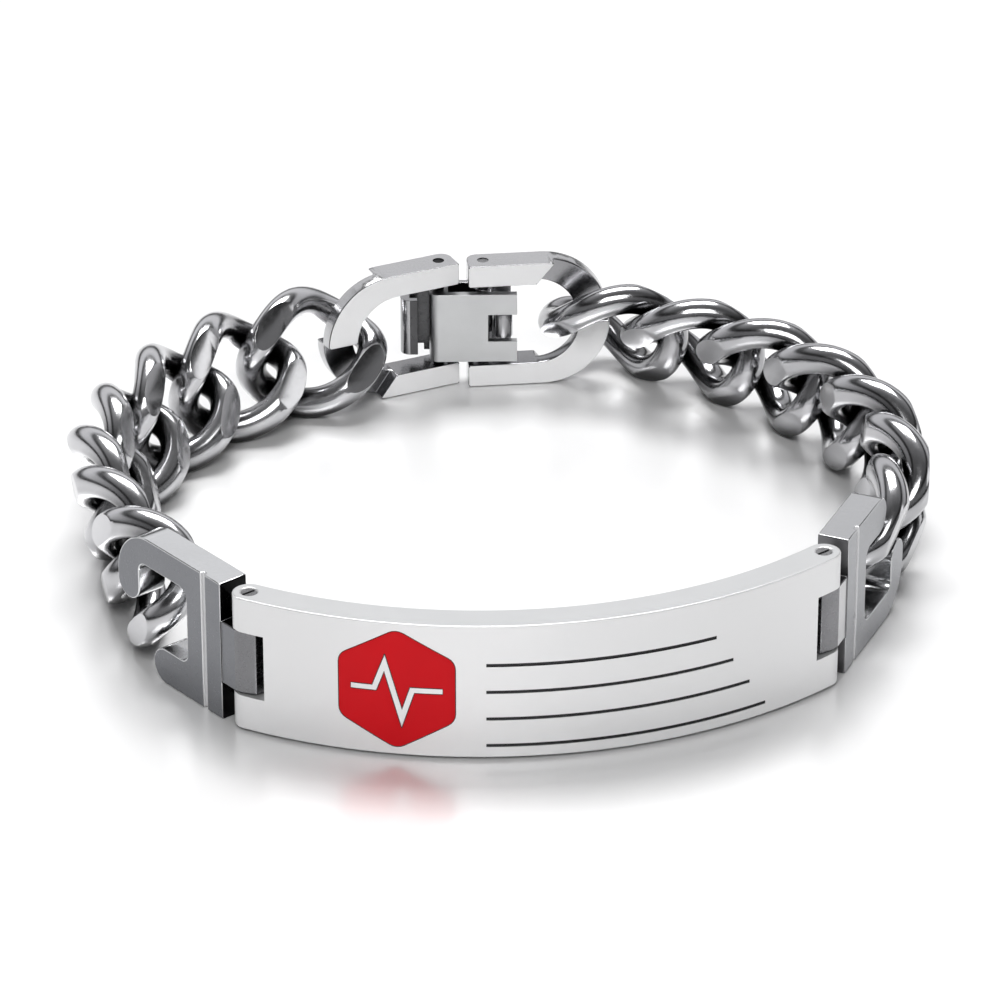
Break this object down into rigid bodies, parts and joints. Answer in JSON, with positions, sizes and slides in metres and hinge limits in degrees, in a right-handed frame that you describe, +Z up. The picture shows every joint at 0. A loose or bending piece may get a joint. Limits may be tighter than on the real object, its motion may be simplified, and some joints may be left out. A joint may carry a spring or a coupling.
{
  "type": "medical alert bracelet",
  "caption": "Medical identification bracelet, fastened: a bent plate with a red enamel emblem, hinged end pieces, heavy curb chain and a fold-over clasp.",
  "frame": {"origin": "centre of the loop's bounding box in X and Y, on the ground that the bracelet's lower edge rests on", "axes": "+Z up, along the wrist's axis; -Y towards the identification plate, +Y towards the clasp; +X along the loop's length, to the wearer's right as the plate is read"},
  "size_m": [0.0728, 0.0726, 0.0125],
  "materials": {
    "satin_steel": "satin brushed stainless steel",
    "polished_steel": "mirror-polished stainless steel",
    "red_enamel": "gloss red enamel, filled flush"
  },
  "bodies": {
    "bracelet": {"id_plate": "satin_steel", "emblem": "red_enamel", "left_hinge_pin": "polished_steel", "right_hinge_pin": "polished_steel", "left_connector": "polished_steel", "right_connector": "polished_steel", "left_link_1": "polished_steel", "left_link_2": "polished_steel", "left_link_3": "polished_steel", "left_link_4": "polished_steel", "left_link_5": "polished_steel", "left_link_6": "polished_steel", "left_link_7": "polished_steel", "right_link_1": "polished_steel", "right_link_2": "polished_steel", "right_link_3": "polished_steel", "right_link_4": "polished_steel", "right_link_5": "polished_steel", "right_link_6": "polished_steel", "right_link_7": "polished_steel", "left_clasp_ring": "satin_steel", "right_clasp_ring": "satin_steel", "left_clasp_pin": "polished_steel", "right_clasp_pin": "polished_steel", "clasp_hook_plate": "satin_steel"},
    "lever": {"clasp_lever": "satin_steel"}
  },
  "joints": [
    {"name": "lever_hinge", "type": "hinge", "parent": "bracelet", "child": "lever", "pos_m": [-0.00093, 0.03209, 0.006], "axis": [0, 0, -1], "range_deg": [0, 88]}
  ]
}
